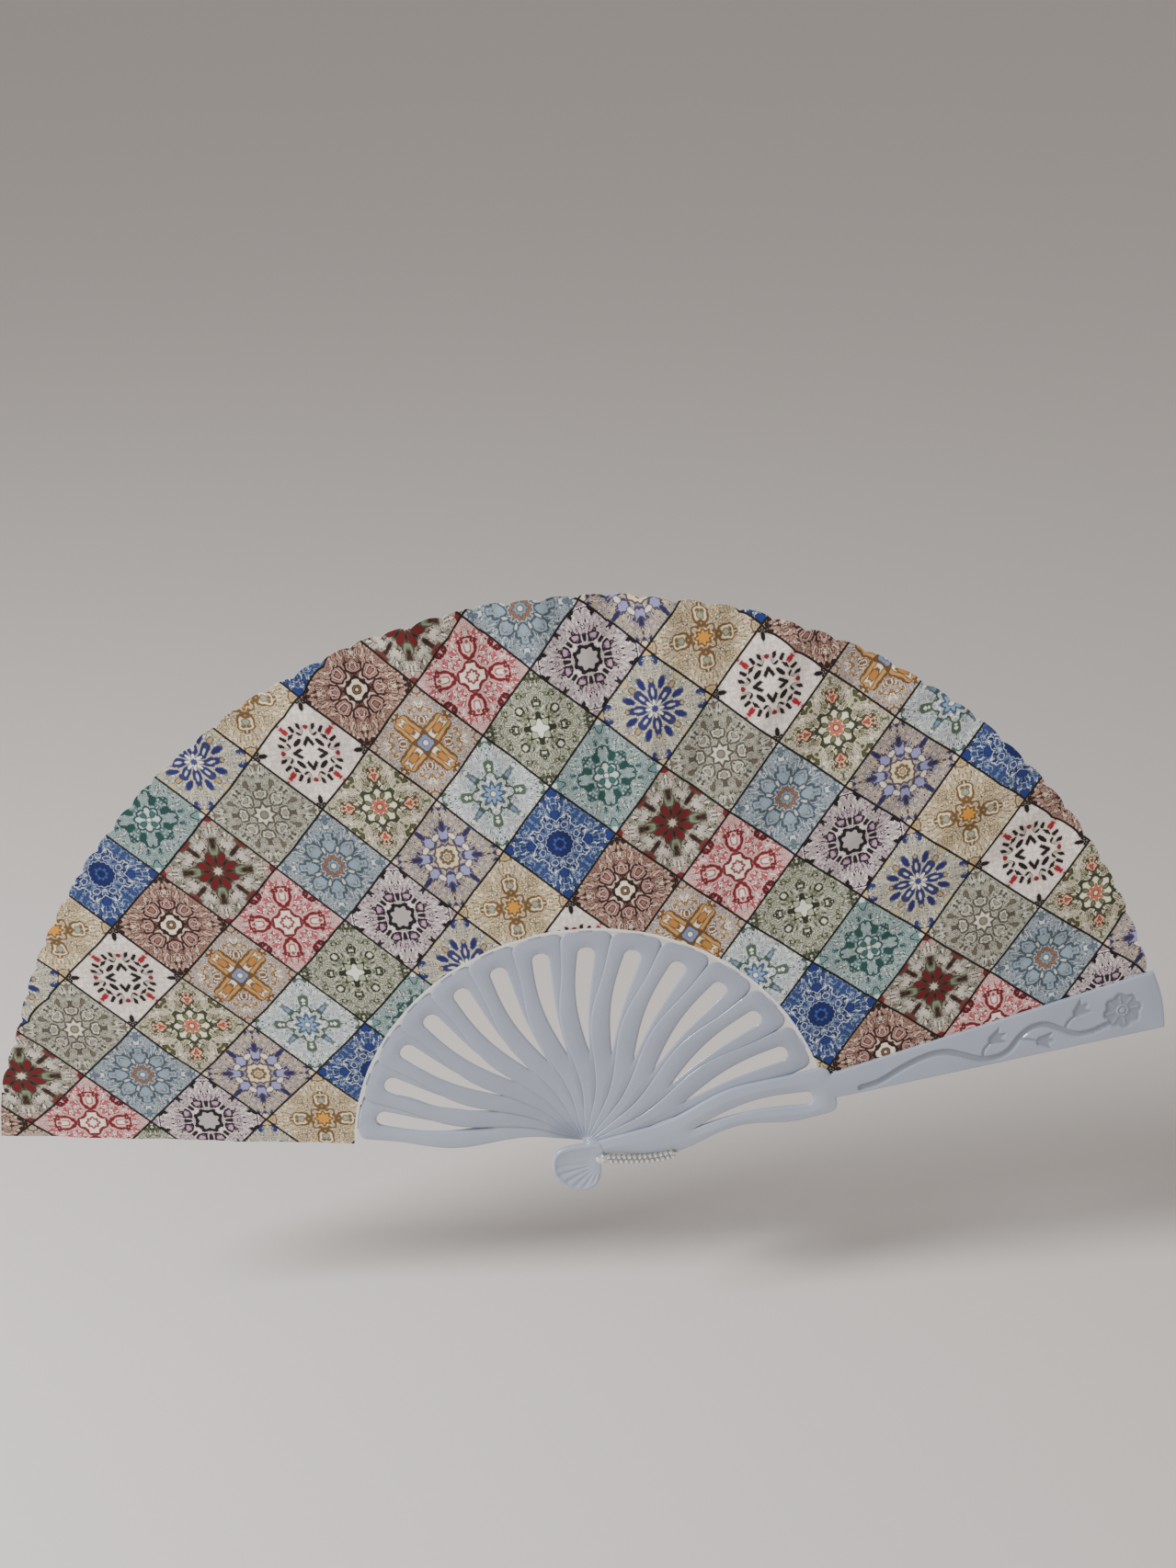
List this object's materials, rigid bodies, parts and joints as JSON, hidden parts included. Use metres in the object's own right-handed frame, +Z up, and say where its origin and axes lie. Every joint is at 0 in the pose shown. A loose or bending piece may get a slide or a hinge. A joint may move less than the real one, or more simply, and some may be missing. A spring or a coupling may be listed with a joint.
{
  "type": "folding fan",
  "caption": "Open folding hand fan: pierced moulded blades turning on one rivet between two guards, a pleated printed cloth leaf, and a small crystal strip on the handle.",
  "frame": {"origin": "on the rivet axis, half-way through the stack of blades", "axes": "+X to the right along the open fan (longest extent), +Y along the rivet from the front of the fan to its back (shortest extent), +Z up towards the top of the open leaf"},
  "size_m": [0.4237, 0.0151, 0.2305],
  "materials": {
    "guards": "moulded, glossy, pale blue-grey",
    "ribs": "moulded, glossy, pale blue-grey",
    "leaf": "printed cotton-like cloth in a patchwork of ornamental tiles",
    "rivet": "plain metal",
    "silver_setting": "silver-coloured cup chain setting",
    "crystal": "faceted clear glass"
  },
  "bodies": {
    "front": {"front_guard": "guards", "leaf_pleat_01": "leaf", "rivet_pin": "rivet", "rivet_washer": "rivet", "crystal_setting": "silver_setting", "crystals": "crystal"},
    "rib_01": {"rib_01": "ribs", "leaf_pleat_02": "leaf"},
    "rib_02": {"rib_02": "ribs", "leaf_pleat_03": "leaf"},
    "rib_03": {"rib_03": "ribs", "leaf_pleat_04": "leaf"},
    "rib_04": {"rib_04": "ribs", "leaf_pleat_05": "leaf"},
    "rib_05": {"rib_05": "ribs", "leaf_pleat_06": "leaf"},
    "rib_06": {"rib_06": "ribs", "leaf_pleat_07": "leaf"},
    "rib_07": {"rib_07": "ribs", "leaf_pleat_08": "leaf"},
    "rib_08": {"rib_08": "ribs", "leaf_pleat_09": "leaf"},
    "rib_09": {"rib_09": "ribs", "leaf_pleat_10": "leaf"},
    "rib_10": {"rib_10": "ribs", "leaf_pleat_11": "leaf"},
    "rib_11": {"rib_11": "ribs", "leaf_pleat_12": "leaf"},
    "rib_12": {"rib_12": "ribs", "leaf_pleat_13": "leaf"},
    "rear": {"rear_guard": "guards", "leaf_end_tab": "leaf"}
  },
  "joints": [
    {"name": "fold_01", "type": "hinge", "parent": "front", "child": "rib_01", "pos_m": [0, 0, 0], "axis": [0, 1, 0], "range_deg": [0, 13.22]},
    {"name": "fold_02", "type": "hinge", "parent": "rib_01", "child": "rib_02", "pos_m": [0, 0, 0], "axis": [0, 1, 0], "range_deg": [0, 13.16]},
    {"name": "fold_03", "type": "hinge", "parent": "rib_02", "child": "rib_03", "pos_m": [0, 0, 0], "axis": [0, 1, 0], "range_deg": [0, 13.04]},
    {"name": "fold_04", "type": "hinge", "parent": "rib_03", "child": "rib_04", "pos_m": [0, 0, 0], "axis": [0, 1, 0], "range_deg": [0, 12.87]},
    {"name": "fold_05", "type": "hinge", "parent": "rib_04", "child": "rib_05", "pos_m": [0, 0, 0], "axis": [0, 1, 0], "range_deg": [0, 12.66]},
    {"name": "fold_06", "type": "hinge", "parent": "rib_05", "child": "rib_06", "pos_m": [0, 0, 0], "axis": [0, 1, 0], "range_deg": [0, 12.42]},
    {"name": "fold_07", "type": "hinge", "parent": "rib_06", "child": "rib_07", "pos_m": [0, 0, 0], "axis": [0, 1, 0], "range_deg": [0, 12.17]},
    {"name": "fold_08", "type": "hinge", "parent": "rib_07", "child": "rib_08", "pos_m": [0, 0, 0], "axis": [0, 1, 0], "range_deg": [0, 11.92]},
    {"name": "fold_09", "type": "hinge", "parent": "rib_08", "child": "rib_09", "pos_m": [0, 0, 0], "axis": [0, 1, 0], "range_deg": [0, 11.68]},
    {"name": "fold_10", "type": "hinge", "parent": "rib_09", "child": "rib_10", "pos_m": [0, 0, 0], "axis": [0, 1, 0], "range_deg": [0, 11.47]},
    {"name": "fold_11", "type": "hinge", "parent": "rib_10", "child": "rib_11", "pos_m": [0, 0, 0], "axis": [0, 1, 0], "range_deg": [0, 11.3]},
    {"name": "fold_12", "type": "hinge", "parent": "rib_11", "child": "rib_12", "pos_m": [0, 0, 0], "axis": [0, 1, 0], "range_deg": [0, 11.18]},
    {"name": "fold_13", "type": "hinge", "parent": "rib_12", "child": "rear", "pos_m": [0, 0, 0], "axis": [0, 1, 0], "range_deg": [0, 11.12]}
  ],
  "couplings": [
    {"joint": "fold_02", "follows": "fold_01", "ratio": 0.99537},
    {"joint": "fold_03", "follows": "fold_01", "ratio": 0.98639},
    {"joint": "fold_04", "follows": "fold_01", "ratio": 0.97356},
    {"joint": "fold_05", "follows": "fold_01", "ratio": 0.95765},
    {"joint": "fold_06", "follows": "fold_01", "ratio": 0.93957},
    {"joint": "fold_07", "follows": "fold_01", "ratio": 0.92037},
    {"joint": "fold_08", "follows": "fold_01", "ratio": 0.90117},
    {"joint": "fold_09", "follows": "fold_01", "ratio": 0.88309},
    {"joint": "fold_10", "follows": "fold_01", "ratio": 0.86718},
    {"joint": "fold_11", "follows": "fold_01", "ratio": 0.85435},
    {"joint": "fold_12", "follows": "fold_01", "ratio": 0.84537},
    {"joint": "fold_13", "follows": "fold_01", "ratio": 0.84074}
  ]
}
